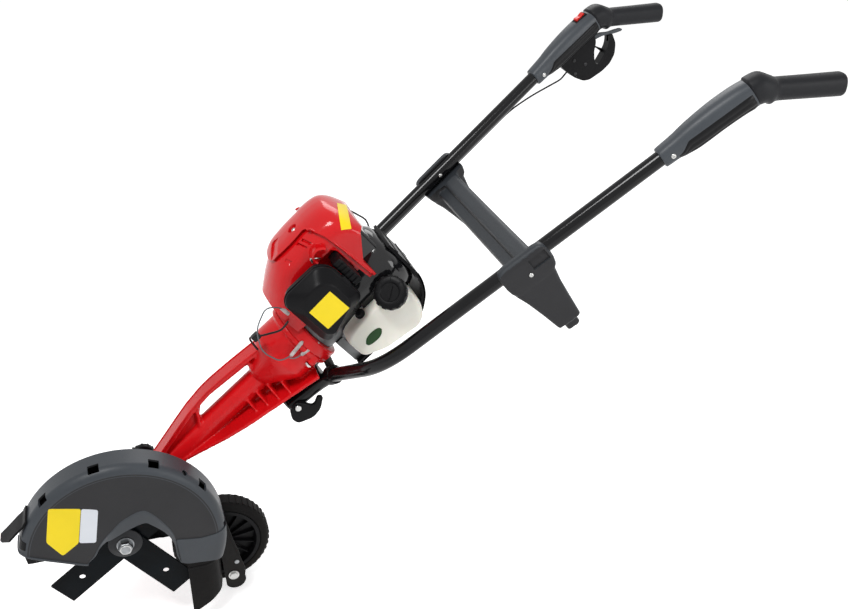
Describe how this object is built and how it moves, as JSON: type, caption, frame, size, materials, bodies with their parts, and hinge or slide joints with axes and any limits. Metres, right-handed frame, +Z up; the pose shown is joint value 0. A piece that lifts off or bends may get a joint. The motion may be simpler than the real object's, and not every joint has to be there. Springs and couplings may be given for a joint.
{
  "type": "petrol lawn edger",
  "caption": "Engine-driven lawn edger: crossed blades under a half-round guard, sloping cast housing, side wheel and two-tube tilting handlebar.",
  "frame": {"origin": "middle of the bounding box's base, on the ground under the machine", "axes": "+X towards the operator at the rear, +Y to the machine's right (the wheel and gearbox-cover side), +Z up"},
  "size_m": [1.1796, 0.518, 0.8393],
  "materials": {
    "red_paint": "gloss red",
    "grey_plastic": "matte dark grey",
    "black_plastic": "semi-gloss black",
    "rubber": "matte black",
    "tyre": "matte black",
    "black_paint": "gloss black",
    "blade_steel": "dark blue-black",
    "steel": "bright",
    "alloy": "cast",
    "tank_white": "translucent white",
    "foam": "foam",
    "porcelain": "glazed white",
    "wire": "grey",
    "switch_red": "red"
  },
  "bodies": {
    "frame": {"drive_housing": "red_paint", "gearbox_cover": "alloy", "arbor_bearing_left": "steel", "arbor_bearing_right": "steel", "shaft_bearing_upper": "steel", "blade_guard": "grey_plastic", "guard_back_plate": "black_paint", "front_flap": "rubber", "rear_flap": "rubber", "skirt_bracket": "black_paint", "engine_adapter": "red_paint", "crankcase": "alloy", "cylinder": "alloy", "spark_plug": "porcelain", "top_cover": "red_paint", "carburettor": "alloy", "air_cleaner_base": "black_plastic", "air_filter": "foam", "muffler": "black_paint", "recoil_cover": "black_plastic", "fuel_tank": "tank_white", "fuel_line": "rubber", "tank_guard": "black_paint", "handle_bracket": "black_paint", "wire_loop": "wire", "throttle_cable_lower": "rubber"},
    "blade": {"blade_arbor": "steel", "bevel_gear": "steel", "blade_bar_1": "blade_steel", "blade_bar_2": "blade_steel", "outer_flange": "blade_steel", "blade_nut": "steel"},
    "drive_shaft": {"drive_shaft": "steel", "bevel_pinion": "steel", "clutch_drum": "steel"},
    "crank": {"crankshaft": "steel", "clutch_shoes": "steel", "flywheel": "alloy"},
    "starter_handle": {"starter_grip": "black_plastic"},
    "starter_reel": {"starter_pulley": "black_plastic"},
    "wheel_arm": {"wheel_arm": "black_paint"},
    "wheel": {"wheel": "black_plastic", "tyre": "tyre"},
    "height_knob": {"height_knob": "black_plastic"},
    "handlebar": {"pivot_pin": "steel", "handle_yoke": "black_paint", "left_tube": "black_paint", "right_tube": "black_paint", "console": "grey_plastic", "left_handle_shell": "grey_plastic", "right_handle_shell": "grey_plastic", "left_grip": "rubber", "right_grip": "rubber", "throttle_housing": "black_plastic", "throttle_cable": "rubber"},
    "clamp_lever": {"clamp_lever": "black_paint"},
    "throttle_trigger": {"throttle_trigger": "grey_plastic"},
    "stop_switch": {"stop_switch": "switch_red"},
    "fuel_cap": {"fuel_cap": "black_plastic"},
    "air_cleaner_cover": {"air_cleaner_cover": "black_plastic"}
  },
  "joints": [
    {"name": "blade_spin", "type": "hinge", "parent": "frame", "child": "blade", "pos_m": [-0.42207, 0, 0.1695], "axis": [0, 1, 0], "continuous": true},
    {"name": "drive_shaft_spin", "type": "hinge", "parent": "frame", "child": "drive_shaft", "pos_m": [-0.26886, 0, 0.29806], "axis": [0.766, 0, 0.6428], "continuous": true},
    {"name": "crank_spin", "type": "hinge", "parent": "frame", "child": "crank", "pos_m": [-0.07735, 0, 0.45875], "axis": [0.766, 0, 0.6428], "continuous": true},
    {"name": "starter_pull", "type": "slide", "parent": "frame", "child": "starter_handle", "axis": [-0.3214, 0.866, 0.383], "range_m": [0, 0.35], "stiffness_N_per_m": 15},
    {"name": "starter_reel_spin", "type": "hinge", "parent": "frame", "child": "starter_reel", "pos_m": [-0.00074, 0, 0.52303], "axis": [0.766, 0, 0.6428], "range_deg": [0, 1000]},
    {"name": "wheel_height", "type": "hinge", "parent": "frame", "child": "wheel_arm", "pos_m": [-0.42207, 0.0545, 0.1695], "axis": [0, 1, 0], "range_deg": [-15, 15]},
    {"name": "height_knob_turn", "type": "hinge", "parent": "frame", "child": "height_knob", "pos_m": [-0.38007, 0.0645, 0.2035], "axis": [0, 1, 0], "range_deg": [0, 360]},
    {"name": "wheel_spin", "type": "hinge", "parent": "wheel_arm", "child": "wheel", "pos_m": [-0.27857, -0.0205, 0.078], "axis": [0, 1, 0], "continuous": true},
    {"name": "handlebar_tilt", "type": "hinge", "parent": "frame", "child": "handlebar", "pos_m": [-0.14128, 0, 0.32026], "axis": [0, 1, 0], "range_deg": [0, 25], "deforming": ["throttle_cable_lower"]},
    {"name": "clamp_lever_swing", "type": "hinge", "parent": "handlebar", "child": "clamp_lever", "pos_m": [-0.14128, 0, 0.32026], "axis": [0, 1, 0], "range_deg": [0, 70]},
    {"name": "throttle_pull", "type": "hinge", "parent": "handlebar", "child": "throttle_trigger", "pos_m": [0.45043, 0.2267, 0.782], "axis": [0, 1, 0], "range_deg": [0, 11], "stiffness_Nm_per_rad": 0.4},
    {"name": "stop_switch_rock", "type": "hinge", "parent": "handlebar", "child": "stop_switch", "pos_m": [0.42775, 0.22891, 0.82021], "axis": [-0.1665, 0.986, 0], "range_deg": [-8, 8]},
    {"name": "fuel_cap_turn", "type": "hinge", "parent": "frame", "child": "fuel_cap", "pos_m": [-0.00264, -0.087, 0.51752], "axis": [-0.4545, -0.7071, 0.5417], "range_deg": [0, 270]},
    {"name": "air_cleaner_open", "type": "hinge", "parent": "frame", "child": "air_cleaner_cover", "pos_m": [-0.07143, -0.0906, 0.48982], "axis": [0.766, 0, 0.6428], "range_deg": [0, 80]}
  ],
  "couplings": [
    {"joint": "drive_shaft_spin", "follows": "blade_spin", "ratio": -1.6},
    {"joint": "starter_reel_spin", "follows": "starter_pull", "rad_per_m": 48.8}
  ]
}
